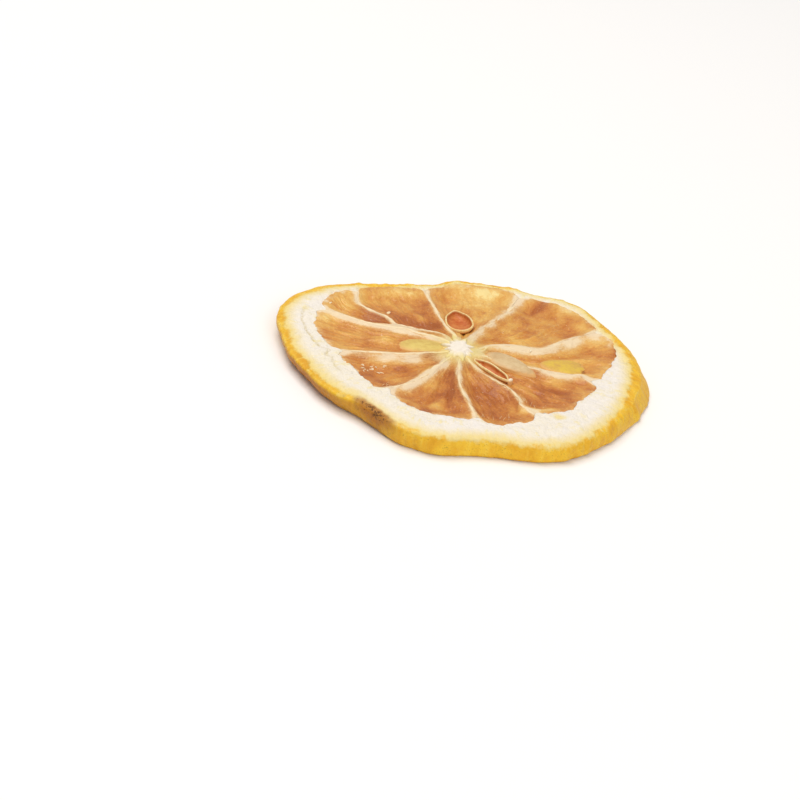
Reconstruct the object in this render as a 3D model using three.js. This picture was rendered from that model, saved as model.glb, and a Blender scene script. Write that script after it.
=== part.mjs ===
// A dried slice of lemon, cut right across the fruit: rind, pith, ten segments of pulp with the
// skins between them, and the core. It lies on the flatter of its two cut faces.
// Millimetres, +Z up. The origin is under the middle of the slice, on the surface it lies on.
import * as THREE from 'three';
import { mergeVertices } from 'three/addons/utils/BufferGeometryUtils.js';

// Edge of the cut face seen from above: angle from +X in degrees, distance from the middle.
const FACE_EDGE = [
  [6, 23.9], [19, 24.4], [30, 24.9], [40, 25.6], [50, 27.1], [60, 28.1], [70, 26.6], [78, 26.6],
  [86, 25.8], [96, 25.4], [104, 23.4], [118, 23.1], [129, 24.2], [141, 26.3], [152, 27.6],
  [163, 27.7], [174, 26.7], [185, 25.2], [204, 23.9], [221, 23.7], [238, 23.1], [250, 24.5],
  [262, 24.9], [275, 23.4], [284, 23.5], [301, 25.1], [320, 24.1], [340, 23.5], [355, 23.5],
];
// How far the rind leans out below that edge, because the cut isn't square to the fruit's skin.
const RIND_LEAN = [
  [5, 2.2], [20, 1.6], [36, 0.5], [60, 0.2], [100, 0.2], [140, -0.2], [165, -1.1], [190, -1.3],
  [222, -1.5], [245, -0.6], [270, 0.3], [300, 0.2], [330, 0.6], [348, 1.5],
];
// Width of the white pith between the edge of the cut face and the pulp.
const PITH_WIDTH = [
  [0, 5.2], [8, 4.2], [18, 2.5], [34, 1.8], [49, 2.5], [64, 2.6], [80, 1.6], [100, 1.8],
  [124, 1.7], [140, 2.6], [155, 4.2], [168, 5.2], [184, 4.9], [204, 5.7], [219, 5.7], [235, 4.6],
  [250, 4.9], [265, 4.9], [284, 3.3], [296, 5.3], [308, 6.9], [320, 5.4], [330, 5.7], [348, 5.3],
];
// Each skin between two segments: where it meets the pith, and how far it bows sideways
// (counter-clockwise) on its way from the core.
const SKINS = [
  [38, -1.9], [73, -0.2], [110, 0.3], [138, 1.1], [160, 0],
  [196, 1.2], [235, 0.8], [276, -1.1], [303, -0.9], [352, -0.4],
];
const SKIN_WIDTH = 0.75;
// The core, off the slice's middle as the fruit grew.
const CORE_PLACE = new THREE.Vector2(-1.3, 0.4);
const CORE_RADIUS = 2.4;

// Heights of the cut face and of the underside: the middle of the slice is domed, the white
// ring swells a little and the pulp has sunk between its skins on both sides.
const FACE_HEIGHT = 2.6;
const FACE_WAVE = 0.22;
const DOME_RISE = 1.0;
const PITH_SWELL = 0.22;
const PULP_SINK = 0.75;
const CORE_RISE = 0.6;
const UNDER_RISE = 0.95;
const UNDER_SINK = 0.45;
const RIND_SWELL = 0.45;

// Seeds that stand up out of the pulp, and one that was cut open and is now a hollow:
// place of the middle, half length, half width, turn in degrees, and height (below zero, depth).
const SEEDS = [
  { x: -1.8, y: 10.3, long: 3.6, wide: 2.1, turn: 92, rise: -0.75 },
  { x: -6.5, y: 0.4, long: 3.4, wide: 2.2, turn: 2, rise: 0.75 },
  { x: 5.8, y: -1.4, long: 3.8, wide: 2.3, turn: -30, rise: 0.75 },
  { x: 13.8, y: 0.8, long: 3.1, wide: 2.3, turn: 5, rise: 0.7 },
];

// The slice is a disc turned from one profile, whose rings and spokes are then moved into place.
// In the profile, radius 1 is the edge of the cut face and PULP_SHARE the edge of the pulp.
const SPOKES = 120;
const PULP_SHARE = 0.8;
const TOP_RINGS = [
  0.05, 0.1, 0.16, 0.24, 0.33, 0.42, 0.51, 0.6, 0.68, 0.74, 0.78, 0.8, 0.84, 0.9, 0.96, 0.99,
];
const WALL_STEPS = 6;
const UNDER_RINGS = [0.99, 0.92, 0.84, 0.8, 0.74, 0.6, 0.42, 0.24, 0.12];
const FLAT_RING = 0.84;

const degrees = (angle) => THREE.MathUtils.radToDeg(angle);
const radians = (angle) => THREE.MathUtils.degToRad(angle);
const ramp = THREE.MathUtils.smoothstep;

// Reads a closed table of [angle, value] pairs as a smooth curve through its points.
function around(table, angle) {
  const count = table.length;
  const turn = THREE.MathUtils.euclideanModulo(angle, 360);
  let index = table.findLastIndex((point) => point[0] <= turn);
  const wraps = index < 0;
  if (wraps) index = count - 1;
  const at = (step) => table[(index + step + count) % count];
  const start = wraps ? at(0)[0] - 360 : at(0)[0];
  const end = at(1)[0] > start ? at(1)[0] : at(1)[0] + 360;
  const share = (turn - start) / (end - start);
  const bend = (before, here, next, after) => 0.5 * (2 * here + (next - before) * share
    + (2 * before - 5 * here + 4 * next - after) * share ** 2
    + (3 * here - before - 3 * next + after) * share ** 3);
  return bend(at(-1)[1], at(0)[1], at(1)[1], at(2)[1]);
}

// The point of the plan at a turn (degrees) and a share of the way out to the face's edge.
function planPoint(turn, share) {
  const direction = new THREE.Vector2(Math.cos(radians(turn)), Math.sin(radians(turn)));
  const edge = around(FACE_EDGE, turn);
  const pulpEdge = direction.clone().multiplyScalar(edge - around(PITH_WIDTH, turn));
  if (share > PULP_SHARE) {
    return pulpEdge.lerp(direction.multiplyScalar(edge), (share - PULP_SHARE) / (1 - PULP_SHARE));
  }
  const along = share / PULP_SHARE;
  const sideways = pulpEdge.clone().sub(CORE_PLACE).normalize().rotateAround(new THREE.Vector2(), Math.PI / 2);
  const bow = 4 * along * (1 - along) * around(SKINS, turn);
  return CORE_PLACE.clone().lerp(pulpEdge, along).addScaledVector(sideways, bow);
}

// 1 on the skins between segments, on the core and on the pith; 0 in the middle of the pulp.
function skinShare(turn, share, place) {
  const fromCore = place.distanceTo(CORE_PLACE);
  const apart = SKINS.map(([skin]) => Math.abs(THREE.MathUtils.euclideanModulo(turn - skin + 180, 360) - 180));
  const away = radians(Math.min(...apart)) * fromCore;
  const onSkin = Math.exp(-((away / SKIN_WIDTH) ** 2));
  const onPith = ramp(share, PULP_SHARE - 0.06, PULP_SHARE + 0.02);
  const onCore = 1 - ramp(fromCore, CORE_RADIUS * 0.8, CORE_RADIUS * 1.6);
  return Math.max(onSkin, onPith, onCore);
}

function seedRise(place) {
  let total = 0;
  for (const seed of SEEDS) {
    const offset = new THREE.Vector2(place.x - seed.x, place.y - seed.y);
    offset.rotateAround(new THREE.Vector2(), -radians(seed.turn));
    const reach = Math.hypot(offset.x / seed.long, offset.y / seed.wide);
    total += seed.rise * (1 - ramp(reach, 0.55, 1.15));
  }
  return total;
}

function faceHeight(turn, share, place) {
  const wave = FACE_WAVE * Math.sin(radians(3 * turn + 40)) * share ** 2;
  const dome = DOME_RISE * (1 - share ** 2);
  const swell = PITH_SWELL * Math.sin(Math.PI * ramp(share, PULP_SHARE - 0.04, 1.06));
  const sink = PULP_SINK * (1 - skinShare(turn, share, place));
  const core = CORE_RISE * (1 - ramp(place.distanceTo(CORE_PLACE), 0, CORE_RADIUS * 1.4));
  return FACE_HEIGHT + wave + dome + swell - sink + core + seedRise(place);
}

// The underside hollows towards the core, and is flat from FLAT_RING out to the rind.
function underHeight(turn, share, place) {
  const inside = 1 - ramp(share, 0.1, FLAT_RING);
  const sink = UNDER_SINK * (1 - skinShare(turn, share, place)) * (1 - ramp(share, 0.7, FLAT_RING));
  return UNDER_RISE * inside + sink;
}

// The profile runs out along the underside, up the wall and back over the cut face to the axis.
// Its height only marks where a point belongs: -1 underside, +1 cut face, between them the wall.
function profile() {
  const points = [new THREE.Vector2(0, -1)];
  for (const share of [...UNDER_RINGS].reverse()) points.push(new THREE.Vector2(share, -1));
  for (let step = 1; step < WALL_STEPS; step += 1) {
    points.push(new THREE.Vector2(2, -1 + 2 * step / WALL_STEPS));
  }
  for (const share of [...TOP_RINGS].reverse()) points.push(new THREE.Vector2(share, 1));
  points.push(new THREE.Vector2(0, 1));
  return points;
}

// Moves one point of the turned disc to its place on the slice.
function placePoint(point) {
  const turn = degrees(Math.atan2(point.y, point.x));
  const share = Math.hypot(point.x, point.y);
  const level = point.z;
  if (Math.abs(level) < 1) {
    const swing = Math.PI * (level + 1) / 2;
    const climb = (1 - Math.cos(swing)) / 2;
    const edge = planPoint(turn, 1);
    const top = faceHeight(turn, 1, edge);
    const out = around(RIND_LEAN, turn) * (1 - climb) + RIND_SWELL * Math.sin(swing);
    edge.setLength(edge.length() + out);
    return point.set(edge.x, edge.y, top * climb);
  }
  const place = planPoint(turn, share);
  if (level > 0) return point.set(place.x, place.y, faceHeight(turn, share, place));
  place.setLength(place.length() + around(RIND_LEAN, turn) * ramp(share, FLAT_RING, 1));
  return point.set(place.x, place.y, underHeight(turn, share, place));
}

function lemonSlice() {
  const turned = new THREE.LatheGeometry(profile(), SPOKES);
  turned.rotateX(Math.PI / 2);
  turned.deleteAttribute('normal');
  turned.deleteAttribute('uv');
  const geometry = mergeVertices(turned, 1e-5);
  const positions = geometry.getAttribute('position');
  const point = new THREE.Vector3();
  for (let index = 0; index < positions.count; index += 1) {
    placePoint(point.fromBufferAttribute(positions, index));
    positions.setXYZ(index, point.x, point.y, point.z);
  }
  geometry.computeBoundingBox();
  const box = geometry.boundingBox;
  geometry.translate(-(box.min.x + box.max.x) / 2, -(box.min.y + box.max.y) / 2, -box.min.z);
  geometry.computeVertexNormals();
  return geometry;
}

const material = new THREE.MeshStandardMaterial({ color: 0xe3ad4a, roughness: 0.55, metalness: 0 });
const slice = new THREE.Mesh(lemonSlice(), material);
slice.name = 'lemon_slice';

const group = new THREE.Group();
group.add(slice);

export default group;
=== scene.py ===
# %% [markdown]
# # A dried slice of lemon
#
# A lemon that is cut across and dried slowly keeps all of its parts: the yellow skin with its
# pores, the white pith, ten segments of pulp with thin skins between them, the star of the core
# and the seeds. This script models each of them as its own piece, inside the solid that the
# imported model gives, and paints them with procedural materials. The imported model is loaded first,
# because every size below is measured from it.

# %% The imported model
import bisect
import functools
import math
import random
from operator import itemgetter
import bmesh
import bpy
from mathutils import Matrix, Vector, noise
from mathutils.bvhtree import BVHTree


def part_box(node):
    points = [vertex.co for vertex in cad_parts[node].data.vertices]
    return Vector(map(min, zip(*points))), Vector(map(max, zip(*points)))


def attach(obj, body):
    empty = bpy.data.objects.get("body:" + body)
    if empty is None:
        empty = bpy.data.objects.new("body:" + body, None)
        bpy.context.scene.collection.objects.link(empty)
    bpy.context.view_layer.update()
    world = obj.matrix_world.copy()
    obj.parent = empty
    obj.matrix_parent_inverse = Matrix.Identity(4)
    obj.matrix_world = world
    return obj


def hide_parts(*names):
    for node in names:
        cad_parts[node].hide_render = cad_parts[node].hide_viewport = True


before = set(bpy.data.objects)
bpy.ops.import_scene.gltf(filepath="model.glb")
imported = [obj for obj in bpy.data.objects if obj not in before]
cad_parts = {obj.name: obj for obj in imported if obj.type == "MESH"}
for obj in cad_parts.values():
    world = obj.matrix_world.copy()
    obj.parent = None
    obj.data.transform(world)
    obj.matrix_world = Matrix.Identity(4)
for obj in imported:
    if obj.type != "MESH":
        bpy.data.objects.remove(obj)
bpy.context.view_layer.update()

MM = 0.001
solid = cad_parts["lemon_slice"]
low_corner, high_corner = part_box("lemon_slice")
print("the packed slice measures, in mm:", [round(side / MM, 1) for side in high_corner - low_corner])

# %% [markdown]
# ## The camera
#
# The slice lies on the floor and the camera looks down on it by a little more than 26 degrees,
# from close by and through a long lens, as small food is usually taken. The camera is also
# rolled, so that the slice seems to lean to the right. Its place is worked out from those few
# numbers: back from the slice along the line of sight, then aside and down, which puts the slice
# above the middle of the picture.

# %% The camera
VIEW_DOWN = math.radians(26.7)
VIEW_ROLL = math.radians(8.8)
VIEW_DISTANCE = 305.2 * MM
VIEW_ASIDE = 9.3 * MM
VIEW_BELOW = 5.8 * MM
LENS = 100.0
SLICE_MIDDLE = Vector((0.6, -0.7, 2.6)) * MM

level_right = Vector((1, 0, 0))
level_up = Vector((0, math.sin(VIEW_DOWN), math.cos(VIEW_DOWN)))
view_ahead = Vector((0, math.cos(VIEW_DOWN), -math.sin(VIEW_DOWN)))
view_right = level_right * math.cos(VIEW_ROLL) + level_up * math.sin(VIEW_ROLL)
view_up = level_up * math.cos(VIEW_ROLL) - level_right * math.sin(VIEW_ROLL)
view_place = SLICE_MIDDLE - view_ahead * VIEW_DISTANCE - view_right * VIEW_ASIDE - view_up * VIEW_BELOW

camera_data = bpy.data.cameras.new("camera")
camera_data.lens = LENS
camera_data.clip_start = 0.01
camera_data.clip_end = 10.0
camera = bpy.data.objects.new("camera", camera_data)
turn_matrix = Matrix((view_right, view_up, -view_ahead)).transposed().to_4x4()
camera.matrix_world = Matrix.Translation(view_place) @ turn_matrix
bpy.context.scene.collection.objects.link(camera)
bpy.context.scene.camera = camera
print("the camera stands", [round(c, 3) for c in view_place])

# %% [markdown]
# ## Measuring the solid
#
# The outline of a dried slice is uneven, so it can't come from one radius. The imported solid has
# the true outline, and rays are the simplest way to read it: from each of 120 directions one ray
# finds the wall near its foot, one at its waist and one at its shoulder, and a ray from above
# finds the height of the rim. `around` then reads such a closed table as a smooth curve.

# %% Rays that measure the outline
RAY_STEP = 3
RAY_START = 60
RIM_INSET = 0.9
FOOT_HEIGHT, WAIST_HEIGHT, SHOULDER_HEIGHT = 0.3, 1.3, 2.15


def tree_of(piece):
    """What a ray needs to find where it meets a piece."""
    return BVHTree.FromPolygons([vert.co.copy() for vert in piece.data.vertices],
                                [tuple(face.vertices) for face in piece.data.polygons])


def direction(turn):
    return Vector((math.cos(math.radians(turn)), math.sin(math.radians(turn))))


def between(before, here, after, beyond, share):
    """A smooth curve through four values or places in a row, at a share of the way past the second."""
    return 0.5 * (2 * here + (after - before) * share
                  + (2 * before - 5 * here + 4 * after - beyond) * share ** 2
                  + (3 * here - before - 3 * after + beyond) * share ** 3)


def around(table, turn):
    """The value of a closed table of (turn in degrees, value) at any turn, as a smooth curve."""
    turn %= 360.0
    count = len(table)
    index = bisect.bisect_right(table, turn, key=itemgetter(0)) - 1
    start = table[index][0] - (360.0 if index < 0 else 0.0)
    following = table[(index + 1) % count][0]
    end = following if following > start else following + 360.0
    share = (turn - start) / (end - start)
    return between(*(table[(index + step) % count][1] for step in (-1, 0, 1, 2)), share)


def wall_radius(turn, height):
    """How far out the solid's wall is, in mm, in one direction and at one height."""
    outward = direction(turn).to_3d()
    hit = solid_tree.ray_cast(outward * RAY_START * MM + Vector((0, 0, height * MM)), -outward)[0]
    return hit.xy.length / MM


def top_height(x, y):
    """The height of the solid's face, in mm, at one place."""
    hit = solid_tree.ray_cast(Vector((x, y, RAY_START)) * MM, Vector((0, 0, -1)))[0]
    return hit.z / MM


solid_tree = tree_of(solid)
turns = range(0, 360, RAY_STEP)
FOOT = [(turn, wall_radius(turn, FOOT_HEIGHT)) for turn in turns]
WAIST = [(turn, wall_radius(turn, WAIST_HEIGHT)) for turn in turns]
SHOULDER = [(turn, wall_radius(turn, SHOULDER_HEIGHT)) for turn in turns]
RIM_TOP = []
for turn, radius in SHOULDER:
    RIM_TOP.append((turn, top_height(*(direction(turn) * (radius - RIM_INSET)))))
print("waist radius", round(min(r for _, r in WAIST), 1), "to", round(max(r for _, r in WAIST), 1), "mm")
print("rim height", round(min(h for _, h in RIM_TOP), 2), "to", round(max(h for _, h in RIM_TOP), 2), "mm")

# %% [markdown]
# ## The plan of the slice
#
# Everything on the cut face is laid out from the core. A skin runs from the core to the pith
# between each two segments, and none of them is straight, so each gets the few points that its
# bends need, in mm, and a smooth curve through them. The pith's width is a closed table again:
# it is wide in front and at the left, and thin at the back, where the pulp nearly meets the rind.

# %% Core, skins and pith in plan
CORE = Vector((-0.7, -0.3))
CORE_START = 0.9
TRACE_STEPS = 16
PITH_WIDTH = [
    (0, 5.2), (8, 4.2), (18, 2.5), (34, 1.8), (49, 2.5), (64, 2.6), (80, 1.6), (100, 1.8),
    (124, 1.7), (140, 2.6), (155, 4.2), (168, 5.2), (184, 4.9), (204, 5.7), (219, 5.7), (235, 4.6),
    (250, 4.9), (265, 4.9), (284, 3.3), (296, 5.3), (308, 6.9), (320, 5.4), (330, 5.7), (348, 5.3)]
# Each skin: its points from the core outwards, the width of its crest near the core, halfway and
# at the pith, how high that stands (below zero it is sunk), and how far its pale film spreads over
# the segments on its left and on its right.
SKINS = [
    ([(2.0, 0.6), (3.5, 2.5), (6.4, 3.6), (10.0, 4.1), (12.2, 5.9), (14.4, 9.0), (18.4, 13.0)],
     (0.9, 0.8, 0.7), -0.12, (0.7, 2.2)),
    ([(0.6, 3.6), (2.4, 8.2), (4.2, 12.1), (5.7, 16.0), (7.5, 22.4)],
     (0.3, 0.5, 1.2), -0.12, (1.2, 1.1)),
    ([(-1.6, 3.9), (-3.0, 6.7), (-4.1, 9.9), (-5.0, 12.8), (-6.65, 18.7)],
     (0.6, 0.45, 1.0), 0.12, (0.5, 0.8)),
    ([(-3.0, 3.7), (-6.6, 4.3), (-9.9, 5.0), (-11.4, 7.1), (-13.9, 8.7), (-15.7, 10.7), (-16.4, 14.5)],
     (0.5, 0.5, 0.5), 0.0, (0.5, 0.6)),
    ([(-3.4, 2.3), (-6.6, 3.2), (-8.8, 3.9), (-11.4, 3.9), (-14.6, 4.5), (-19.7, 6.9)],
     (0.6, 0.6, 0.4), 0.05, (1.1, 0.7)),
    ([(-3.0, -2.1), (-5.2, -3.0), (-8.1, -4.2), (-11.4, -4.6), (-16.4, -5.4)],
     (0.5, 0.6, 0.5), 0.02, (1.6, 0.7)),
    ([(-2.7, -5.1), (-3.7, -6.8), (-4.8, -9.5), (-6.6, -12.2), (-9.6, -15.1)],
     (0.5, 0.5, 0.5), 0.0, (1.4, 0.6)),
    ([(-0.5, -5.3), (-0.3, -9.0), (0.2, -12.0), (2.4, -18.0)],
     (0.5, 0.6, 0.7), 0.03, (0.7, 0.6)),
    ([(0.9, -3.5), (2.4, -6.1), (4.9, -8.3), (6.6, -9.8), (7.9, -12.2), (8.2, -13.6), (10.1, -15.2)],
     (0.6, 0.45, 0.4), 0.05, (0.8, 0.5)),
    ([(2.6, -1.2), (6.5, -2.0), (10.2, -2.4), (13.3, -2.7), (15.8, -1.8), (18.4, -3.3)],
     (0.5, 0.5, 0.6), -0.1, (1.1, 0.9)),
]


def turn_of(x, y):
    return math.degrees(math.atan2(y, x)) % 360.0


def ramp(value, low, high):
    share = min(max((value - low) / (high - low), 0.0), 1.0)
    return share * share * (3 - 2 * share)


def near_turn(turn, middle, width):
    """1 in one direction, falling to 0 on both sides of it; turns and widths in degrees."""
    return math.exp(-((((turn - middle + 180) % 360 - 180) / width) ** 2))


def rough(x, y, z, size, seed=0.0):
    """Smooth noise between about -1 and 1, with lumps of the given size in mm."""
    return noise.noise(Vector((x / size + seed, y / size - seed, z / size + 3.1 * seed)))


def trace(points):
    """A smooth curve through the points, as a function of the share of its length."""
    dots = [Vector(point) for point in points]
    dots = [dots[0] * 2 - dots[1]] + dots + [dots[-1] * 2 - dots[-2]]
    samples = []
    for index in range(1, len(dots) - 2):
        samples += [between(*dots[index - 1:index + 3], step / TRACE_STEPS) for step in range(TRACE_STEPS)]
    samples.append(dots[-2])
    lengths = [0.0]
    for start, end in zip(samples, samples[1:]):
        lengths.append(lengths[-1] + (end - start).length)

    def at(share):
        reach = min(max(share, 0.0), 1.0) * lengths[-1]
        index = min(bisect.bisect_right(lengths, reach), len(samples) - 1)
        part = (reach - lengths[index - 1]) / (lengths[index] - lengths[index - 1])
        return samples[index - 1].lerp(samples[index], part)
    return at


skin_turns = [turn_of(*points[-1]) for points, *_ in SKINS]
print("skins meet the pith at", [round(turn) for turn in skin_turns], "degrees")

# %% [markdown]
# ## Heights
#
# Drying makes a slice rise in the middle, while the rim stays flat on the tray. The pulp shrinks
# more than its skins, so it sinks between them. `rim` reads all that depends only on the
# direction, and remembers it for each quarter of a degree; `face` and `under` are the heights of
# the two cut faces before the pulp has sunk.

# %% Rim, cut face and underside
FACE_HEIGHT = 2.6
DOME_RISE = 1.0
UNDER_RISE = 0.95
CORNER = 0.4
SPIKE_LENGTH = 1.1
SPIKE_WIDTH = 2.6


@functools.lru_cache(maxsize=None)
def rim_at(quarter_turns):
    """Radii and height of the rim, in mm, in one direction, given in quarters of a degree."""
    turn = quarter_turns / 4
    x, y = 22 * math.cos(math.radians(turn)), 22 * math.sin(math.radians(turn))
    spike = sum(near_turn(turn, skin, SPIKE_WIDTH) for skin in skin_turns)
    ripple = (0.3 * rough(x, y, 0, 3.2, 5.0) + 0.25 * rough(x, y, 0, 1.2, 7.0)
              + 0.16 * rough(x, y, 0, 0.5, 9.0))
    pith = around(PITH_WIDTH, turn) + SPIKE_LENGTH * spike + ripple
    dent = 0.2 * rough(x, y, 0, 2.4, 1.0) + 0.1 * rough(x, y, 0, 0.9, 3.0)
    return {"foot": around(FOOT, turn) + dent, "waist": around(WAIST, turn) + dent,
            "shoulder": around(SHOULDER, turn) + dent, "top": around(RIM_TOP, turn),
            "pulp": around(SHOULDER, turn) - CORNER - pith}


def rim(turn):
    return rim_at(round(turn * 4) % 1440)


def face(x, y):
    """The height of the cut face, domed in the middle."""
    edge = rim(turn_of(x, y))
    share = min(math.hypot(x, y) / edge["shoulder"], 1.0)
    level = edge["top"] + (FACE_HEIGHT - edge["top"]) * (1 - share ** 2)
    return level + DOME_RISE * (1 - share ** 2)


def under(x, y):
    """The height of the underside: flat near the rim, hollow towards the core."""
    share = min(math.hypot(x, y) / rim(turn_of(x, y))["shoulder"], 1.0)
    return UNDER_RISE * (1 - ramp(share, 0.1, 0.84))


def skin_line(points, turn):
    """From the core through a skin's points to where the pith begins in that direction."""
    start = (Vector(points[0]) - CORE).normalized() * CORE_START + CORE
    end = direction(turn) * rim(turn)["pulp"]
    return trace([start] + points[:-1] + [end])


skin_lines = [skin_line(points, turn) for (points, *_), turn in zip(SKINS, skin_turns)]
print("the face rises from", round(face(24, 0), 2), "to", round(face(0, 0), 2), "mm at the core")

# %% [markdown]
# ## From a bmesh to a piece
#
# Every piece ends the same way: doubles are merged, the faces are turned outwards, and the mesh
# gets its material and its body. Two shapes are needed again and
# again. `slab` starts from a grid, extrudes it once and moves the two sheets apart, which gives a
# closed leaf of any outline. `wrapped` rolls a grid up, so that its sides meet; where its ends
# meet too it becomes a ring, and where each end shrinks to a point it becomes a ball or a bowl.
# Both keep values in layers on the points, because the materials read those later.

# %% Helpers that close and finish a mesh
pieces_made = []


def finish_piece(shape, name, finish, merge=1e-7):
    bmesh.ops.remove_doubles(shape, verts=shape.verts, dist=merge)
    bmesh.ops.recalc_face_normals(shape, faces=shape.faces)
    mesh = bpy.data.meshes.new(name)
    shape.to_mesh(mesh)
    shape.free()
    mesh.shade_smooth()
    piece = bpy.data.objects.new(name, mesh)
    bpy.context.scene.collection.objects.link(piece)
    mesh.materials.append(finish)
    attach(piece, "root")
    pieces_made.append(piece)
    return piece


def slab(columns, rows, top, bottom, layers=()):
    """A closed leaf: top and bottom give a point, in mm, for shares across and along the grid."""
    shape = bmesh.new()
    bmesh.ops.create_grid(shape, x_segments=columns, y_segments=rows, size=0.5)
    for name in ("across", "along", *layers):
        shape.verts.layers.float.new(name)
    across, along, *extra = (shape.verts.layers.float[name] for name in ("across", "along", *layers))
    for vert in shape.verts:
        vert[across], vert[along] = vert.co.x + 0.5, vert.co.y + 0.5
    grown = bmesh.ops.extrude_face_region(shape, geom=shape.faces[:])["geom"]
    for vert in grown:
        if isinstance(vert, bmesh.types.BMVert):
            vert.co.z = 1.0
    for vert in shape.verts:
        place = top if vert.co.z > 0.5 else bottom
        values = place(vert[across], vert[along])
        vert.co = Vector(values[:3]) * MM
        for layer, value in zip(extra, values[3:]):
            vert[layer] = value
    return shape


def wrapped(columns, rows, place, layers=()):
    """A grid rolled into a tube: place gives a point, in mm, for a turn and a share along it."""
    shape = bmesh.new()
    bmesh.ops.create_grid(shape, x_segments=columns, y_segments=rows, size=0.5)
    for name in layers:
        shape.verts.layers.float.new(name)
    extra = [shape.verts.layers.float[name] for name in layers]
    for vert in shape.verts:
        values = place((vert.co.x + 0.5) * 360.0, vert.co.y + 0.5)
        vert.co = Vector(values[:3]) * MM
        for layer, value in zip(extra, values[3:]):
            vert[layer] = value
    return shape


print("helpers ready: slab and wrapped")

# %% [markdown]
# ## Writing materials as sums
#
# A procedural material is a small calculation: noise in, colour and roughness out. `Wire` wraps
# one socket, so that such a calculation can be written as plain Python: `1 - mask * 0.5` adds the
# Math nodes by itself. Everything that isn't a sum, such as a noise, a ramp or a mix of colours,
# comes from its one method `add`, which sets a node's settings first and then its sockets.

# %% The Wire class
class Wire:
    def __init__(self, tree, socket=None):
        self.tree = tree
        self.socket = socket

    def add(self, kind, settings=None, inputs=None, output=0):
        node = self.tree.nodes.new(kind)
        for name, value in (settings or {}).items():
            if name == "stops":
                while len(node.color_ramp.elements) < len(value):
                    node.color_ramp.elements.new(0.5)
                for element, (position, colour) in zip(node.color_ramp.elements, value):
                    element.position, element.color = position, colour
            else:
                setattr(node, name, value)
        for name, value in (inputs or {}).items():
            if isinstance(value, Wire):
                self.tree.links.new(value.socket, node.inputs[name])
            else:
                node.inputs[name].default_value = value
        return Wire(self.tree, node.outputs[output])

    def math(self, operation, *values):
        return self.add("ShaderNodeMath", {"operation": operation}, dict(enumerate(values)))

    def __add__(self, other):
        return self.math("ADD", self, other)

    def __sub__(self, other):
        return self.math("SUBTRACT", self, other)

    def __mul__(self, other):
        return self.math("MULTIPLY", self, other)

    def __radd__(self, other):
        return self.math("ADD", other, self)

    def __rsub__(self, other):
        return self.math("SUBTRACT", other, self)

    def __rmul__(self, other):
        return self.math("MULTIPLY", other, self)

    def step(self, low, high):
        """0 below low, 1 above high, and a smooth rise between them."""
        return self.add("ShaderNodeMapRange", {"interpolation_type": "SMOOTHSTEP"},
                        {"Value": self, "From Min": low, "From Max": high})

    def blend(self, colour_at_0, colour_at_1):
        """Mixes two colours (or colour wires), with this wire as the share of the second."""
        return self.add("ShaderNodeMix", {"data_type": "RGBA"},
                        {0: self, 6: colour_at_0, 7: colour_at_1}, 2)


def paint(code):
    """A colour from its usual six-digit code, turned into the linear values that shaders use."""
    parts = [int(code[place:place + 2], 16) / 255 for place in (0, 2, 4)]
    linear = [part / 12.92 if part <= 0.04045 else ((part + 0.055) / 1.055) ** 2.4 for part in parts]
    return (*linear, 1.0)


def new_finish(name, **fixed):
    """An empty Principled material: returns a Wire to start from, and a function to end with that gives
    the material.
    """
    finish = bpy.data.materials.new(name)
    finish.use_nodes = True
    tree = finish.node_tree
    shader = next(node for node in tree.nodes if node.type == "BSDF_PRINCIPLED")
    for socket, value in fixed.items():
        shader.inputs[socket.replace("_", " ")].default_value = value

    def connect(**wires):
        for socket, wire in wires.items():
            tree.links.new(wire.socket, shader.inputs[socket.replace("_", " ")])
        return finish
    return Wire(tree), connect


def place_mm(start):
    """The piece's own coordinates, in mm."""
    spot = start.add("ShaderNodeTexCoord", output="Object")
    return start.add("ShaderNodeVectorMath", {"operation": "SCALE"}, {0: spot, "Scale": 1 / MM})


def grain_from_core(start, spot, turns_scale, reach_scale):
    """Coordinates for streaks that run out from the core: a direction, and a distance."""
    offset = start.add("ShaderNodeVectorMath", {"operation": "SUBTRACT"}, {0: spot, 1: (*CORE, 0)})
    flat = start.add("ShaderNodeVectorMath", {"operation": "MULTIPLY"}, {0: offset, 1: (1, 1, 0)})
    reach = start.add("ShaderNodeVectorMath", {"operation": "LENGTH"}, {0: flat}, "Value")
    heading = start.add("ShaderNodeVectorMath", {"operation": "NORMALIZE"}, {0: flat})
    wide = start.add("ShaderNodeVectorMath", {"operation": "SCALE"}, {0: heading, "Scale": turns_scale})
    outwards = start.add("ShaderNodeCombineXYZ", inputs={"Z": reach * reach_scale})
    return start.add("ShaderNodeVectorMath", {"operation": "ADD"}, {0: wide, 1: outwards})


def noise_at(start, spot, scale, detail=3.0, roughness=0.55):
    return start.add("ShaderNodeTexNoise", {}, {"Vector": spot, "Scale": scale, "Detail": detail,
                                                "Roughness": roughness}, "Fac")


def bump(start, height, strength, distance):
    inputs = {"Height": height, "Strength": strength, "Distance": distance}
    return start.add("ShaderNodeBump", {}, inputs, "Normal")


def read(start, name):
    """A value that the mesh carries on its points."""
    return start.add("ShaderNodeAttribute", {"attribute_name": name}, output="Fac")


print("materials are written with", Wire.__name__)
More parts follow.
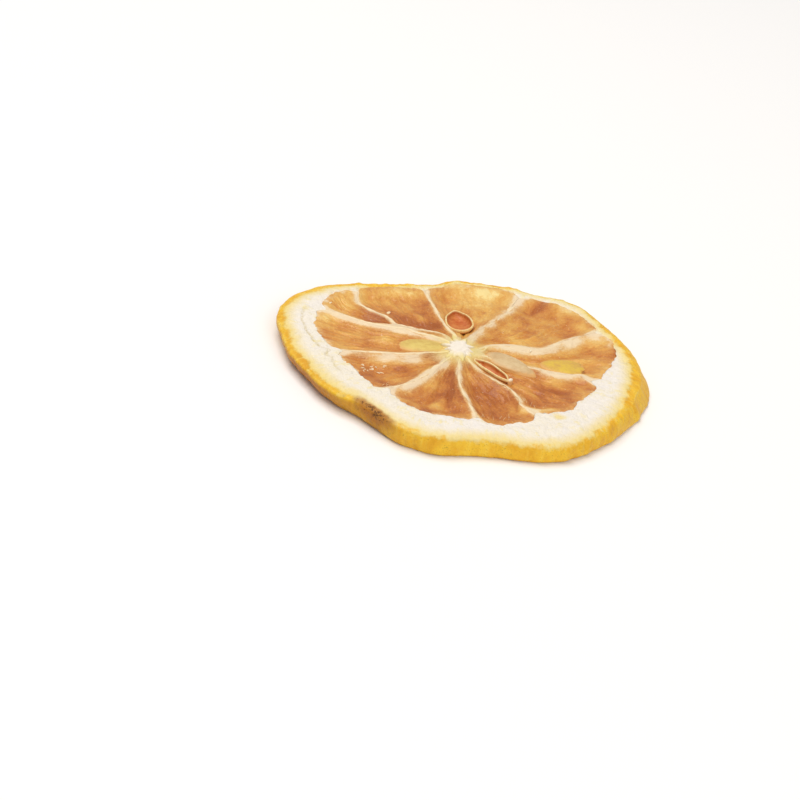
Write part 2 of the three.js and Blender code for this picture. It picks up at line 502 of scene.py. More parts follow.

# %% [markdown]
# ## Zest and pith
#
# The skin of a lemon has two layers. Outside is the zest, a thin yellow layer full of oil pores,
# and inside is the white, spongy pith. Both are one tissue that changes over a millimetre or two,
# so they are one piece with one material: each point carries `inset`, its distance in mm from the
# edge of the cut, which is negative on the wall. The material turns yellow into white along it,
# with noise so that the border is ragged. Three more values mark a crease in the pith, the
# scorched part of the edge, and painted shade, a darker amber on the left front of the peel.

# %% The finish of the peel
start, connect = new_finish("peel", IOR=1.35, Coat_Roughness=0.3)
spot = place_mm(start)
broad = noise_at(start, spot, 0.16, 2.0)
patch = noise_at(start, spot, 0.55, 4.0)
fine = noise_at(start, spot, 2.6, 4.0, 0.6)
speckle = noise_at(start, spot, 6.0, 2.0)
pores = start.add("ShaderNodeTexVoronoi", {"feature": "SMOOTH_F1"},
                  {"Vector": spot, "Scale": 1.15, "Smoothness": 0.6}, "Distance")
fibre = noise_at(start, grain_from_core(start, spot, 34.0, 0.35), 1.0, 3.0)
inset = read(start, "inset") + (patch - 0.5) * 1.6 + (fine - 0.5) * 0.8
zest = 1 - inset.step(-0.15, 0.5)
yellowed = 1 - inset.step(0.0, 2.3)
stain = (patch + (fibre - 0.5) * 0.9 + (fine - 0.5) * 0.5).step(0.5, 0.85) * 0.75
pith_colour = (broad * 0.5 + fibre * 0.5).step(0.3, 0.7).blend(paint("F1E6D0"), paint("F0E8E0"))
pith_colour = stain.blend(pith_colour, paint("F1DF9E"))
pith_colour = (yellowed * 0.95).blend(pith_colour, paint("EFD47C"))
zest_colour = (broad * 0.4 + patch * 0.6).step(0.35, 0.65).blend(paint("E5A71B"), paint("F4C530"))
zest_colour = ((fine * 0.4 + fibre * 0.6).step(0.48, 0.7) * 0.55).blend(zest_colour, paint("F7D85C"))
zest_colour = ((1 - fibre).step(0.5, 0.75) * 0.22).blend(zest_colour, paint("D4951A"))
# Painted shade: the left front of the peel turns a darker amber, most of all down its wall.
zest_colour = (read(start, "amber") * (0.75 + fine * 0.5)).blend(zest_colour, paint("B97312"))
zest_colour = (speckle.step(0.58, 0.75) * 0.35).blend(zest_colour, paint("B98A22"))
colour = zest.blend(pith_colour, zest_colour)
crease = read(start, "crease") * (0.45 + fine.step(0.4, 0.6) * 0.55)
colour = (crease * 0.75).blend(colour, paint("C0AC6C"))
scorch = read(start, "scorch") + (patch - 0.5) * 1.2
colour = (scorch.step(0.15, 0.85) * 0.85).blend(colour, paint("A86218"))
burnt = scorch + (fine - 0.5) * 3.0 + (speckle - 0.5) * 1.2
colour = (burnt.step(0.95, 1.4) * 0.85).blend(colour, paint("4E280C"))
flecks = (speckle + (patch - 0.5) * 0.5).step(0.66, 0.74) * zest * 0.5
colour = flecks.blend(colour, paint("8F6A1E"))
relief = zest * ((1 - pores) * 0.5 + patch + fine * 0.5) + (1 - zest) * (fibre * 0.4 + fine * 0.8 + patch)
peel = connect(Base_Color=colour, Roughness=0.72 - zest * 0.2 + (fine - 0.5) * 0.2,
               Coat_Weight=zest * 0.1, Normal=bump(start, relief, 0.65, 0.0005))
print("peel uses", len(peel.node_tree.nodes), "nodes")

# %% [markdown]
# ### The ring of peel
#
# The ring is a grid wrapped both ways. One way runs around the slice, and the other runs around
# its section: the underside, the wall, the cut face and the inner wall beside the pulp. Drying has
# wrinkled it, so every side gets lumps from smooth noise, upright ones on the wall and small ones
# on the spongy face. `ZEST_BAND` is how far the yellow reaches onto the cut face; where it is below
# zero, the white pith shows on the top of the wall as well.

# %% The ring of peel
RING_STEPS = 720
SECTION_STEPS = 82
UNDER, WALL, FACE = range(3)
SIDE_ENDS = (0.14, 0.46, 0.88, 1.0)
WALL_CORNER = 0.45
WALL_NOISE_RADIUS = 24
SCORCH_TURN, SCORCH_WIDTH = 243, 9
ZEST_BAND = [
    (0, 0.9), (25, 1.0), (45, 0.7), (75, 0.6), (110, 0.8), (128, 1.3), (150, 1.0), (165, 0.4),
    (200, 0.3), (225, 0.3), (250, -0.2), (270, -0.5), (295, -0.5), (320, -0.2), (345, 0.5)]


def wall_out(edge, height):
    """Radius of the wall at a height: a curve through the foot, the waist and the shoulder."""
    z = min(max(height, 0.15), 2.3)
    low, middle, high = FOOT_HEIGHT, WAIST_HEIGHT, SHOULDER_HEIGHT
    return (edge["foot"] * (z - middle) * (z - high) / ((low - middle) * (low - high))
            + edge["waist"] * (z - low) * (z - high) / ((middle - low) * (middle - high))
            + edge["shoulder"] * (z - low) * (z - middle) / ((high - low) * (high - middle)))


def rounding(distance):
    """How far a rounded corner lies inside the sharp one, at a distance from it."""
    left = max(WALL_CORNER - distance, 0.0)
    return WALL_CORNER - math.sqrt(max(WALL_CORNER ** 2 - left ** 2, 0.0))


def place_on_ring(turn, along):
    side = bisect.bisect_right(SIDE_ENDS[:-1], along)
    side_start = (0.0, *SIDE_ENDS)[side]
    share = (along - side_start) / (SIDE_ENDS[side] - side_start)
    edge = rim(turn)
    out = direction(turn)
    top = edge["top"] - 0.12
    foot, crown = wall_out(edge, 0.0), wall_out(edge, top)
    crease = scorch = 0.0
    if side == UNDER:
        radius = edge["pulp"] + (foot - WALL_CORNER - edge["pulp"]) * share
        x, y = out * radius
        lumps = 0.06 * (1 + rough(x, y, 0, 1.6, 2.0)) * (1 - ramp(share, 0.7, 1))
        z, inset = under(x, y) + lumps, foot - radius - max(around(ZEST_BAND, turn), 0.3)
    elif side == WALL:
        z = top * share
        at = (*(out * WALL_NOISE_RADIUS), z / 2)
        wrinkle = 0.2 * rough(*at, 1.6, 2.0) + 0.1 * rough(*at, 0.7, 4.0)
        radius = wall_out(edge, z) - rounding(z) - rounding(top - z) + wrinkle * math.sin(math.pi * share)
        x, y = out * radius
        inset = -min(z + 1, top - z) - min(around(ZEST_BAND, turn), 0)
        scorch = near_turn(turn, SCORCH_TURN, SCORCH_WIDTH) * (0.45 + 0.55 * ramp(z, 0.4, top))
    elif side == FACE:
        radius = crown - WALL_CORNER + (edge["pulp"] - crown + WALL_CORNER) * share
        x, y = out * radius
        inset = crown - radius - WALL_CORNER
        swell = 0.18 * math.sin(math.pi * share ** 0.8)
        crease_at = 0.64 + 0.16 * rough(turn / 3, 0, 0, 2.6, 4.0) + 0.04 * rough(turn, 0, 0, 2.0, 4.0)
        crease = (near_turn(turn, 190, 30) * ramp(turn, 158, 168) * (1 - ramp(turn, 214, 224))
                  * math.exp(-(((share - crease_at) / 0.03) ** 2)))
        lumps = 0.2 * rough(x, y, 0, 1.8, 3.0) + 0.12 * rough(x, y, 0, 0.7, 6.0)
        lip = 0.12 * rough(x, y, 0, 0.8, 8.0) * ramp(share, 0.8, 1)
        lumps *= ramp(share, 0, 0.15) * (1 - 0.6 * ramp(share, 0.85, 1))
        z = face(x, y) + swell + lumps - 0.22 * crease + lip
        z -= 0.14 * ramp(out.y, 0.1, 0.6) * ramp(share, 0.75, 1)
        z = top + (z - top) * ramp(share, -0.15, 0.3)
        juice = 5 * near_turn(turn, 311, 5) * ramp(share, 0.5, 0.8)
        inset = min(inset, max(inset - juice, around(ZEST_BAND, turn) + 0.7)) - around(ZEST_BAND, turn)
        scorch = near_turn(turn, SCORCH_TURN, SCORCH_WIDTH) * (1 - ramp(inset, 0.0, 1.2))
    else:
        radius = edge["pulp"] + 0.25 * math.sin(math.pi * share)
        x, y = out * radius
        high = face(x, y) + 0.12 * rough(x, y, 0, 0.8, 8.0) - 0.14 * ramp(out.y, 0.1, 0.6)
        low = under(x, y) + 0.06 * (1 + rough(x, y, 0, 1.6, 2.0))
        z = high + (low - high) * ramp(share, 0, 1)
        inset = 0.8
    # Painted shade on the left front of the peel: on the wall it reaches full strength 0.7 mm below the
    # top, and elsewhere it is a fifth as strong.
    amber = near_turn(turn, 208, 34) * (ramp(top - z, 0.0, 0.7) if side == WALL else 0.2)
    return x, y, max(z, 0.0), inset, crease, scorch, amber


ring = wrapped(RING_STEPS, SECTION_STEPS, place_on_ring, ("inset", "crease", "scorch", "amber"))
rind = finish_piece(ring, "rind_and_pith", peel)
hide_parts("lemon_slice")
print("the ring has", len(rind.data.polygons), "faces")

# %% [markdown]
# ## Pulp
#
# The pulp of a lemon is made of small juice sacs that all point at the core. When they dry they
# collapse into an amber, slightly glossy film with ridges that run outwards, and the film sinks
# between the skins. Each segment is one slab, stretched between the two skins beside it. Some
# places differ from the rest: a pale patch of dried juice, a deep hollow, a skin that has folded
# over the pulp. They are a list of soft spots, each with a place, a size and a turn, and with
# what it adds to the tone, to the film and to the height.

# %% Segments and spots
# Counter-clockwise from the skin at 35 degrees: how deep it has sunk, in mm, its tone from deep
# amber (0) to straw (1), and how much pale film covers all of it.
SEGMENTS = [
    (0.60, 0.47, 0.06), (0.62, 0.50, 0.04), (0.55, 0.35, 0.0), (0.55, 0.32, 0.04), (0.45, 0.45, 0.20),
    (0.70, 0.22, 0.0), (0.75, 0.34, 0.0), (1.00, 0.30, 0.0), (0.66, 0.27, 0.0), (0.60, 0.52, 0.04)]
# x, y, half length, half width, turn, then what is added to the tone, the film and the height.
SPOTS = [
    (-11.0, 16.3, 3.2, 1.4, 15, 0.5, 0.1, 0.2), (1.7, 22.0, 5.0, 1.8, 0, 0.4, 0.1, 0.1),
    (1.7, 18.1, 2.0, 2.5, 0, 0.4, 0.0, 0.1), (-17.9, 11.6, 2.6, 1.8, 50, 0.4, 0.1, 0.1),
    (-20.1, 4.3, 3.0, 1.5, 80, 0.35, 0.0, 0.1), (14.4, 19.9, 1.5, 1.5, 0, 0.3, 0.1, 0.0),
    (9.7, -14.9, 1.6, 1.0, 0, 0.35, 0.1, 0.0), (6.4, 3.4, 3.6, 1.2, 15, 0.3, 0.5, 0.3),
    (-9.2, 3.6, 2.2, 1.1, -10, 0.3, 0.5, 0.2), (-8.0, -5.6, 5.0, 1.2, 15, 0.25, 0.5, 0.15),
    (-5.4, -9.6, 4.5, 0.9, 62, 0.2, 0.45, 0.1), (9.0, -4.6, 3.4, 2.0, -10, 0.05, 0.12, 0.1),
    (14.0, -3.4, 3.0, 1.6, 0, 0.1, 0.4, 0.1), (-7.0, 7.0, 4.0, 1.4, 0, -0.45, -0.1, -0.3),
    (-12.5, 5.2, 1.6, 1.0, 0, -0.3, 0.0, -0.2), (4.2, -11.6, 5.0, 2.0, -72, -0.3, -0.1, -0.2),
    (-0.9, -14.2, 5.0, 1.2, 85, -0.3, -0.1, -0.15), (13.3, -6.9, 1.5, 0.8, 0, -0.25, 0.0, -0.1),
    (-12.8, -11.6, 2.5, 1.5, 45, -0.25, 0.0, -0.1), (-3.8, -3.3, 1.4, 0.8, -30, -0.5, -0.1, -0.3),
    (21.1, 6.5, 3.0, 0.9, 75, -0.35, -0.1, -0.2), (10.0, 1.8, 1.3, 0.7, 0, -0.4, -0.1, -0.15),
    (-1.2, 9.6, 2.7, 1.6, 96, -0.1, 0.0, -1.1), (4.2, -4.6, 3.2, 1.1, -45, -0.1, 0.0, -0.4),
    (8.9, 11.2, 2.0, 1.5, 0, -0.2, 0.0, -0.1), (10.6, -14.0, 2.6, 0.7, 25, 0.5, 0.5, 0.05),
    (-17.0, 9.0, 2.0, 1.0, 60, 0.2, 0.3, 0.05), (10.0, 19.2, 4.0, 1.2, 70, -0.3, 0.0, -0.15)]
LOBE_COLUMNS, LOBE_ROWS = 84, 104
TUCK = 0.7
SLOPE = 1.3
# Each spot becomes one row: its place, then how x and y turn into shares of its two halves.
spot_rows = []
for x, y, long, wide, turn, *adds in SPOTS:
    cos, sin = math.cos(math.radians(turn)), math.sin(math.radians(turn))
    spot_rows.append((x, y, cos / long, sin / long, -sin / wide, cos / wide, adds))


def spots_at(x, y):
    """What the soft spots add to tone, film and height at one place."""
    tone = film = lift = 0.0
    for spot_x, spot_y, long_x, long_y, wide_x, wide_y, adds in spot_rows:
        dx, dy = x - spot_x, y - spot_y
        if dx * dx + dy * dy < 80:
            reach = (dx * long_x + dy * long_y) ** 2 + (dx * wide_x + dy * wide_y) ** 2
            if reach < 5:
                weight = math.exp(-reach)
                tone += weight * adds[0]
                film += weight * adds[1]
                lift += weight * adds[2]
    return tone, film, lift


def lobe_point(index, across, along):
    """Plan of a segment: between its two skins, and out to the pith with a bit tucked under it."""
    right, left = skin_lines[index], skin_lines[(index + 1) % len(SKINS)]
    out = min(along * 1.04, 1.0)
    place = right(out).lerp(left(out), across)
    first, second = skin_turns[index], skin_turns[(index + 1) % len(SKINS)]
    turn = first + ((second - first) % 360) * across
    edge = direction(turn) * rim(turn)["pulp"]
    place += (edge - right(1).lerp(left(1), across)) * out ** 3
    gap = (left(out) - right(out)).length
    return place + edge.normalized() * TUCK * ramp(along, 0.955, 1.0), gap


def lobe_height(index, across, along, place, gap):
    """Height of a segment's face, its tone and its film, at one place."""
    sink, tone, film = SEGMENTS[index]
    more_tone, more_film, lift = spots_at(*place)
    reach = (place - CORE).length
    from_right, from_left = across * gap, (1 - across) * gap
    middle = (1 - math.exp(-((from_right / SLOPE) ** 2))) * (1 - math.exp(-((from_left / SLOPE) ** 2)))
    border = ramp(along, 0.8, 0.96)
    ends = ramp(reach, 1.0, 4.0) * (1 - border)
    bend = across + 0.07 * rough(place.x, place.y, 0, 3.0, index + 0.1)
    ridges = (0.27 * rough(bend * 8, along * 3.4, 0, 1.0, index + 0.3)
              + 0.13 * rough(bend * 20, along * 9.0, 0, 1.0, index + 0.7)
              + 0.05 * rough(bend * 44, along * 20.0, 0, 1.0, index + 0.9))
    lumps = 0.16 * rough(place.x, place.y, 0, 2.2, index + 0.5) + 0.08 * rough(
        place.x, place.y, 0, 0.8, index + 0.6)
    height = face(*place) - 0.12 + (0.08 + 0.07 * ramp(place.y, 2, 12)) * border
    height += (lift - sink * ends) * middle
    height += (ridges + lumps) * (0.3 + 0.7 * ends) * (0.25 + 0.75 * middle)
    right_film = SKINS[index][3][0]
    left_film = SKINS[(index + 1) % len(SKINS)][3][1]
    edge_film = math.exp(-((from_right / right_film) ** 2)) + math.exp(-((from_left / left_film) ** 2))
    edge_film *= 0.85 + 0.6 * rough(place.x, place.y, 0, 2.4, index + 1.3)
    edge_film += 0.55 * ramp(along, 0.88, 0.97) * (0.7 + rough(place.x, place.y, 0, 0.9, 4.0))
    height -= 0.7 * ramp(along, 0.965, 1.0)
    tone += more_tone + 0.3 * rough(place.x, place.y, 0, 3.0, index + 2.0) + 0.6 * ridges
    film += more_film + edge_film
    return height, tone, max(film, 0.0)


def lobe(index):
    def top(across, along):
        place, gap = lobe_point(index, across, along)
        height, tone, film = lobe_height(index, across, along, place, gap)
        return place.x, place.y, height, tone, film, (place - CORE).length

    def bottom(across, along):
        place, _ = lobe_point(index, across, along)
        middle = (1 - abs(2 * across - 1) ** 3) * (1 - ramp(along, 0.85, 0.97))
        ridges = 0.12 * rough(across * 9, along * 3.2, 0, 1.0, index + 5.3) + 0.07 * rough(
            across * 24, along * 6, 0, 1.0, index + 5.7)
        height = under(*place) + 0.08 + (0.35 + ridges) * middle + 0.6 * ramp(along, 0.955, 0.99)
        return (place.x, place.y, height, SEGMENTS[index][1] + ridges, 0.3 * (1 - middle),
                (place - CORE).length)
    return slab(LOBE_COLUMNS, LOBE_ROWS, top, bottom, ("tone", "film", "reach"))


print(len(SEGMENTS), "segments,", len(SPOTS), "soft spots")

# %% [markdown]
# ### The finish of the pulp
#
# The colour comes from `tone` through a ramp of ambers. Streaks follow the sacs, because they are
# made in the slab's own shares across and along it, not in x and y. Where `film` is high the pulp
# turns to a pale, duller cream. Close to the core everything is stained a pale yellow.

# %% The finish of the pulp
start, connect = new_finish("pulp", IOR=1.38, Coat_Roughness=0.12)
spot = place_mm(start)
patch = noise_at(start, spot, 0.5, 3.0)
fine = noise_at(start, spot, 2.8, 4.0, 0.65)
sacs = start.add("ShaderNodeCombineXYZ", inputs={
    "X": read(start, "across") * 17 + (patch - 0.5) * 4.0, "Y": read(start, "along") * 9.0 + patch * 2.0,
    "Z": patch * 1.5})
streak = noise_at(start, sacs, 1.0, 5.0, 0.65)
hair = noise_at(start, sacs, 4.5, 3.0, 0.6)
tone = read(start, "tone") - 0.01 + (streak - 0.5) * 0.45 + (patch - 0.5) * 0.6
tone = tone + (hair - 0.5) * 0.35 + (fine - 0.5) * 0.5
colour = start.add("ShaderNodeValToRGB", {"stops": [
    (0.0, paint("AC5C1C")), (0.22, paint("C6782E")), (0.42, paint("D6923F")), (0.62, paint("E3AA50")),
    (0.82, paint("EEC26E")), (1.0, paint("F5DB92"))]}, {"Fac": tone}, "Color")
film = (read(start, "film") + (streak - 0.5) * 0.6 + (fine - 0.5) * 0.5).step(0.05, 1.25)
cream = film.step(0.3, 0.9).blend(paint("E8BE7C"), paint("F3DFBC"))
colour = (film.step(0.0, 0.75) * 0.85).blend(colour, cream)
glint = noise_at(start, spot, 3.4, 2.0).step(0.68, 0.74)
colour = (glint * 0.55).blend(colour, paint("F8E6C0"))
halo = 1 - (read(start, "reach") + (streak - 0.5) * 4.0).step(1.8, 5.4)
colour = (halo * 0.85).blend(colour, paint("EFD88A"))
relief = streak * 0.6 + hair * 0.5 + fine * 0.7
pulp = connect(Base_Color=colour, Roughness=0.46 + film * 0.12 + (fine - 0.5) * 0.35,
               Coat_Weight=0.27 - film * 0.2, Normal=bump(start, relief, 0.65, 0.0003))
lobes = [finish_piece(lobe(index), f"pulp_{index + 1}", pulp)
         for index in range(len(SEGMENTS))]
print("pulp has", sum(len(piece.data.polygons) for piece in lobes), "faces")

# %% [markdown]
# ## Skins
#
# The skins between the segments don't shrink as much as the pulp, so they show as pale ridges, and
# their dried film runs out over the pulp beside them. Each is a slab along its own line, with a
# rounded top, ragged sides and a bottom that shows on the underside too. Its width follows three
# values, at the core, halfway and at the pith.

# %% Skins between the segments
start, connect = new_finish("skin", IOR=1.38)
spot = place_mm(start)
patch = noise_at(start, spot, 0.7, 3.0)
lines = start.add("ShaderNodeCombineXYZ", inputs={
    "X": read(start, "across") * 5 + patch, "Y": read(start, "along") * 7, "Z": patch})
streak = noise_at(start, lines, 1.0, 4.0, 0.6)
crest = 1 - start.math("ABSOLUTE", read(start, "across") * 2 - 1)
pale = (streak * 0.9 + patch * 0.7 + crest * 0.6 - 0.6).step(0.05, 0.7)
colour = pale.blend(paint("DDA964"), paint("F1DCB4"))
halo = 1 - (read(start, "reach") + (streak - 0.5) * 2.0).step(2.5, 7.0)
colour = (halo * 0.8).blend(colour, paint("EFDC9A"))
membrane = connect(Base_Color=colour, Roughness=0.5 + (streak - 0.5) * 0.3,
                   Normal=bump(start, streak + patch * 0.5, 0.5, 0.00025))
SKIN_COLUMNS, SKIN_ROWS = 14, 120


def skin(index):
    _, (near, middle, far), rise, _ = SKINS[index]
    line = skin_lines[index]

    def place(across, along):
        here = line(along)
        ahead = (line(min(along + 0.01, 1.0)) - line(max(along - 0.01, 0.0))).normalized()
        aside = Vector((-ahead.y, ahead.x))
        width = near + (middle - near) * ramp(along, 0, 0.5) + (far - middle) * ramp(along, 0.5, 1)
        width *= 1 + 0.6 * rough(along * 9, index, 0, 1.0, 3.0)
        ragged = 0.12 * rough(along * 22, across * 2, index, 1.0, 6.0)
        return here + aside * (width * (across - 0.5) + ragged) + ahead * 0.6 * ramp(along, 0.97, 1)

    def top(across, along):
        spot = place(across, along)
        side = across ** (0.7 + 0.5 * rough(along * 3, index, 0, 1.0, 9.0))
        arch = 1 - abs(2 * side - 1) ** 2
        lumps = 0.1 * rough(spot.x, spot.y, 0, 0.9, index + 3.0)
        height = face(*spot) - 0.32 + (0.26 + rise * 0.6 + lumps) * arch ** 0.8
        height -= 0.15 * ramp(along, 0.93, 1)
        return spot.x, spot.y, height, (spot - CORE).length

    def bottom(across, along):
        spot = place(across, along)
        arch = 1 - abs(2 * across - 1) ** 2.2
        return spot.x, spot.y, under(*spot) + 0.45 - 0.42 * arch ** 0.6, (spot - CORE).length
    return slab(SKIN_COLUMNS, SKIN_ROWS, top, bottom, ("reach",))


skins = [finish_piece(skin(index), f"skin_{index + 1}", membrane)
         for index in range(len(SKINS))]
print("skins have", sum(len(piece.data.polygons) for piece in skins), "faces")

# %% [markdown]
# ## Core
#
# The core is a plug of white, spongy tissue. It has shrunk to a long, uneven star whose rays run
# out into the skins. A sphere of small triangles is drawn out along those directions, domed above
# and reaching down to the underside. Each ray has a direction and a length in mm.

# %% The core
start, connect = new_finish("core", IOR=1.35, Roughness=0.8)
spot = place_mm(start)
fine = noise_at(start, spot, 2.4, 4.0)
reach = read(start, "reach")
colour = (reach + (fine - 0.5) * 1.2).step(1.3, 3.2).blend(paint("EFE4D4"), paint("EAD690"))
core_finish = connect(Base_Color=colour, Normal=bump(start, fine, 0.6, 0.0003))
CORE_RAYS = [
    (32, 0.7), (76, 1.2), (104, 2.0), (128, 1.7), (165, 1.5), (200, 0.7), (240, 0.9), (281, 1.5),
    (318, 0.7), (350, 0.6)]
CORE_LONG = 84.0


def core_star():
    shape = bmesh.new()
    bmesh.ops.create_icosphere(shape, subdivisions=6, radius=1.0)
    reach_layer = shape.verts.layers.float.new("reach")
    for vert in shape.verts:
        turn = turn_of(vert.co.x, vert.co.y)
        flat = vert.co.xy.length
        rays = sum(length * near_turn(turn, ray, 7) for ray, length in CORE_RAYS)
        oval = 1.4 + 1.1 * abs(math.cos(math.radians(turn - CORE_LONG))) ** 3
        radius = (oval + rays * flat ** 3) * (1 + 0.3 * rough(vert.co.x, vert.co.y, 0, 0.3, 2.0))
        spot = CORE + Vector((vert.co.x, vert.co.y)) * radius
        lumps = 0.12 * rough(spot.x, spot.y, 0, 0.45, 1.0) * vert.co.z
        edge = face(*spot) - 0.2
        if vert.co.z > 0:
            height = edge + 0.7 * vert.co.z + lumps
        else:
            height = edge + (under(*spot) + 0.06 - edge) * ramp(-vert.co.z, 0, 0.8) + lumps
        vert.co = Vector((spot.x, spot.y, height)) * MM
        vert[reach_layer] = (spot - CORE).length
    return shape


star = finish_piece(core_star(), "core", core_finish)
print("the core reaches", round(max(v.co.z for v in star.data.vertices) / MM, 2), "mm high")

# %% [markdown]
# ## Seeds
#
# Three seeds are whole. A seed is a ball that is longer than it is wide, narrower at one end and
# lying half in the pulp. Two more were met by the knife: what is left are open shells, like
# small boats, with a pale lip and a lining of orange skin. A shell is wrapped from its outer
# bottom over the lip to its inner bottom, so it is closed. `lining` tells the material where the
# inside starts, and `buried` where the outside is stained by the pulp around it.

# %% Seeds
def seed_finish(name, light, dark, roughness):
    start, connect = new_finish(name, IOR=1.42)
    spot = place_mm(start)
    broad = noise_at(start, spot, 0.6, 3.0)
    fine = noise_at(start, spot, 2.5, 4.0, 0.6)
    colour = (broad * 0.6 + fine * 0.4).step(0.35, 0.62).blend(paint(dark), paint(light))
    skirt = (read(start, "skirt") + (fine - 0.5) * 0.6).step(0.15, 0.65)
    colour = (skirt * 0.85).blend(colour, paint("DDA45C"))
    return connect(Base_Color=colour, Roughness=roughness + (fine - 0.5) * 0.25,
                   Normal=bump(start, broad + fine * 0.4, 0.5, 0.0003))


def axes(turn):
    ahead = direction(turn)
    return ahead, Vector((-ahead.y, ahead.x))


def seed(x, y, long, wide, turn, taper, rise, flatness, ragged, buried=0.0):
    """A whole seed: half its length and width, its back over the face, the drop of its rear end."""
    middle = Vector((x, y))
    ahead, aside = axes(turn)

    def place(angle, along):
        tilt = math.pi * (along - 0.5)
        flat = math.cos(tilt) ** flatness
        forward, sideways = math.cos(math.radians(angle)) * flat, math.sin(math.radians(angle)) * flat
        torn = 1 - ragged * max(forward, 0) * (0.6 + rough(sideways, along, 0, 0.3, x))
        lumps = 1 + 0.05 * rough(forward, sideways, tilt, 0.5, x)
        offset = ahead * long * forward * torn + aside * wide * sideways * (1 - taper * forward)
        spot = middle + offset * lumps
        up = math.sin(tilt)
        height = face(*middle) - 0.5 + up * ((rise + 0.5) * lumps if up > 0 else 0.8)
        height -= buried * (0.5 - 0.5 * forward)
        return spot.x, spot.y, height, 1 - up
    return wrapped(64, 32, place, ("skirt",))


def shell(x, y, long, wide, turn, taper, rise, depth, lip):
    """An open half of a seed, with the height of its lip over the face and the depth inside."""
    middle = Vector((x, y))
    ahead, aside = axes(turn)
    lip_level = face(*middle) + rise

    def place(angle, along):
        inside = max(along - 0.56, 0) / 0.44
        outside = max(0.44 - along, 0) / 0.44
        crossing = min(max((along - 0.44) / 0.12, 0), 1)
        size = max(1 - outside ** 2.5, 0) ** 0.5 if outside else max(1 - inside ** 2.5, 0) ** 0.5
        forward, sideways = math.cos(math.radians(angle)), math.sin(math.radians(angle))
        wobble = 1 + 0.05 * rough(forward, sideways, 0, 0.5, x)
        thick = lip * (1 - math.cos(math.pi * crossing)) / 2
        spot = middle + ahead * (long * wobble - thick) * forward * size
        spot += aside * (wide * wobble - thick) * sideways * size * (1 - taper * forward)
        height = lip_level + 0.5 * lip * math.sin(math.pi * crossing)
        height -= (depth + 0.3) * outside + depth * inside ** 0.8
        height += (0.12 * rough(forward, sideways, 0, 0.8, y) - 0.25 * (forward * long / 4) ** 2) * size
        return spot.x, spot.y, height, ramp(along, 0.52, 0.62), 1 - ramp(along, 0.3, 0.42)
    return wrapped(72, 60, place, ("lining", "buried"))


start, connect = new_finish("seed shell", IOR=1.42, Roughness=0.45)
spot = place_mm(start)
broad = noise_at(start, spot, 0.5, 3.0)
fine = noise_at(start, spot, 2.0, 4.0, 0.6)
inner = (broad * 0.6 + fine * 0.4).step(0.3, 0.7).blend(paint("B9571F"), paint("D58A48"))
outer = fine.step(0.35, 0.65).blend(paint("E8C47C"), paint("F0DAA4"))
outer = read(start, "buried").blend(outer, paint("CE8B45"))
shell_finish = connect(Base_Color=read(start, "lining").blend(outer, inner),
                       Normal=bump(start, broad, 0.3, 0.0002))
olive_seed = seed_finish("olive seed", "DEC36A", "CDA954", 0.45)
grey_seed = seed_finish("pale seed", "D9BD8E", "C8A472", 0.5)
yellow_seed = seed_finish("yellow seed", "DEB942", "D0A24C", 0.45)
white_bead = seed_finish("bead", "FBF1DC", "F0DDB5", 0.4)
flake_finish = seed_finish("flake", "F7E8C8", "ECD2A4", 0.4)
fibre_finish = seed_finish("fibre", "F2DDB0", "E3BC80", 0.4)
SEEDS = [
    ("seed_left", seed(-5.9, -0.2, 3.7, 2.3, 2, -0.1, 0.08, 0.75, 0.0, 0.45), olive_seed),
    ("seed_middle", seed(6.5, -1.75, 4.2, 2.0, 148, -0.28, 0.2, 0.6, 0.05, 0.3), grey_seed),
    ("seed_right", seed(14.0, 0.1, 3.6, 2.3, 5, -0.15, -0.02, 0.5, 0.3), yellow_seed),
    ("bead", seed(6.6, -7.0, 0.55, 0.3, 60, 0.1, 0.05, 0.9, 0.0), white_bead),
    ("shell_back", shell(-1.2, 9.6, 3.3, 2.0, 96, 0.25, -0.15, 1.0, 0.26), shell_finish),
    ("shell_front", shell(3.9, -4.8, 3.5, 1.05, -47, 0.1, -0.06, 0.7, 0.28), shell_finish)]
for name, shape, finish in SEEDS:
    finish_piece(shape, name, finish)
print("seeds and shells:", len(SEEDS))

# %% [markdown]
# ## Flakes and fibres
#
# A few dried juice sacs have come loose and lie on the pulp as flakes like grains of rice, and
# where the pulp has pulled away from the pith it has left pale fibres. A flake is a small stretched
# sphere; a fibre is a thin cone that is bent as its points are moved. Each kind is joined in one
# mesh, because they are far too small to be handled one by one.

# %% Flakes and fibres
chance = random.Random(11)
ABOVE_ALL = 20
# x, y, half length, half width, turn
FLAKE_PLACES = [(chance.uniform(-13.6, -10.4), chance.uniform(-10.4, -7.4), chance.uniform(0.16, 0.34),
                 0.07, chance.uniform(-70, 70)) for _ in range(16)]
FLAKE_PLACES += [(-11.2, 9.6, 0.5, 0.25, 70), (-19.5, 9.1, 0.35, 0.12, 60), (9.2, 3.3, 0.45, 0.12, 75)]
# x, y of the root, and the turn in which fibres leave it
FIBRE_ROOTS = [(chance.uniform(7.6, 11.0), chance.uniform(-14.0, -12.0), chance.uniform(70, 130))
               for _ in range(10)]
FIBRE_ROOTS += [(chance.uniform(1.5, 7.0), chance.uniform(-18.6, -16.8), chance.uniform(60, 120))
                for _ in range(8)]
FIBRE_ROOTS += [(chance.uniform(-10.5, -8.0), chance.uniform(-14.5, -12.5), chance.uniform(20, 90))
                for _ in range(8)]


def resting_height(x, y):
    """The height of whatever has been made so far, seen from above at this place."""
    down = Vector((0, 0, -1))
    hits = [tree.ray_cast(Vector((x, y, ABOVE_ALL)) * MM, down)[0] for tree in made_trees]
    return max(hit.z for hit in hits if hit) / MM


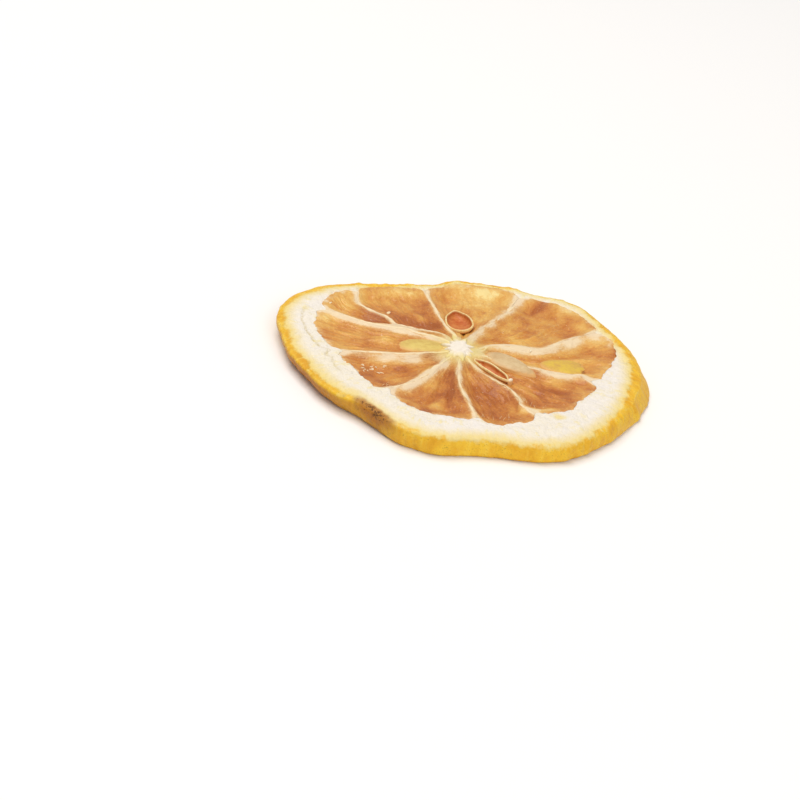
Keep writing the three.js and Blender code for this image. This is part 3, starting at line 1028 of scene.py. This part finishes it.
made_trees = [tree_of(piece) for piece in pieces_made]
flakes = bmesh.new()
for x, y, long, wide, turn in FLAKE_PLACES:
    ball = bmesh.ops.create_uvsphere(flakes, u_segments=12, v_segments=8, radius=1.0)["verts"]
    ahead, aside = axes(turn)
    level = resting_height(x, y) + 0.04
    for vert in ball:
        spot = Vector((x, y)) + ahead * vert.co.x * long + aside * vert.co.y * wide
        vert.co = Vector((*spot, level + vert.co.z * 0.1)) * MM
finish_piece(flakes, "flakes", flake_finish)

fibres = bmesh.new()
for x, y, turn in FIBRE_ROOTS:
    length = chance.uniform(0.4, 1.1)
    rod = bmesh.ops.create_cone(fibres, cap_ends=True, segments=6, radius1=0.025, radius2=0.01, depth=1.0)
    bmesh.ops.subdivide_edges(fibres, edges=[
        edge for edge in fibres.edges if edge.verts[0] in rod["verts"] and edge.verts[1] in rod["verts"]
        and abs(edge.verts[0].co.z - edge.verts[1].co.z) > 0.5], cuts=5)
    ahead, aside = axes(turn)
    bow = chance.uniform(-0.12, 0.12)
    lean = chance.uniform(0.0, 0.2)
    level = resting_height(x, y)
    for vert in fibres.verts:
        if not vert.tag:
            out = vert.co.z + 0.5
            spot = (Vector((x, y)) + ahead * length * out
                    + aside * (vert.co.x + bow * length * math.sin(math.pi * out) * 0.5))
            rise = 0.05 + lean * length * out + vert.co.y
            vert.co = Vector((*spot, level + rise)) * MM
            vert.tag = True
finish_piece(fibres, "fibres", fibre_finish)
print("flakes", len(FLAKE_PLACES), "fibres", len(FIBRE_ROOTS))

# %% [markdown]
# ## Floor and light
#
# The floor is plain and nearly white. The light is that of a product table: a pale surrounding
# light from everywhere, one broad soft light above and behind, which gives the pulp its low gloss,
# and a softer one in front that keeps the wall of the peel bright.

# %% Floor and light
FLOOR_HALF = 2.0
floor_mesh = bpy.data.meshes.new("floor")
sheet = bmesh.new()
bmesh.ops.create_grid(sheet, x_segments=1, y_segments=1, size=FLOOR_HALF)
sheet.to_mesh(floor_mesh)
sheet.free()
floor = bpy.data.objects.new("floor", floor_mesh)
bpy.context.scene.collection.objects.link(floor)
_, connect = new_finish("floor paint", Base_Color=paint("F4F2F0"), Roughness=0.9)
floor_mesh.materials.append(connect())


def soft_light(name, place, size, power):
    """A square lamp, a little warm, that shines at the slice."""
    data = bpy.data.lights.new(name, "AREA")
    data.shape = "SQUARE"
    data.size = size
    data.energy = power
    data.color = (1, 0.99, 0.975)
    lamp = bpy.data.objects.new(name, data)
    aim = (-Vector(place)).to_track_quat("-Z", "Y").to_matrix().to_4x4()
    lamp.matrix_world = Matrix.Translation(place) @ aim
    bpy.context.scene.collection.objects.link(lamp)


soft_light("light above", (-0.2, 0.15, 0.7), 0.55, 3.9)
soft_light("light in front", (0.25, -0.6, 0.45), 0.5, 2.35)
world = bpy.data.worlds.new("studio")
world.use_nodes = True
background = world.node_tree.nodes["Background"]
background.inputs["Color"].default_value = (1, 0.99, 0.98, 1)
background.inputs["Strength"].default_value = 0.41
bpy.context.scene.world = world
bpy.context.scene.view_settings.view_transform = "Standard"
print("two lights and a pale surrounding light")

# %% Pieces made
print("pieces:", len(pieces_made))
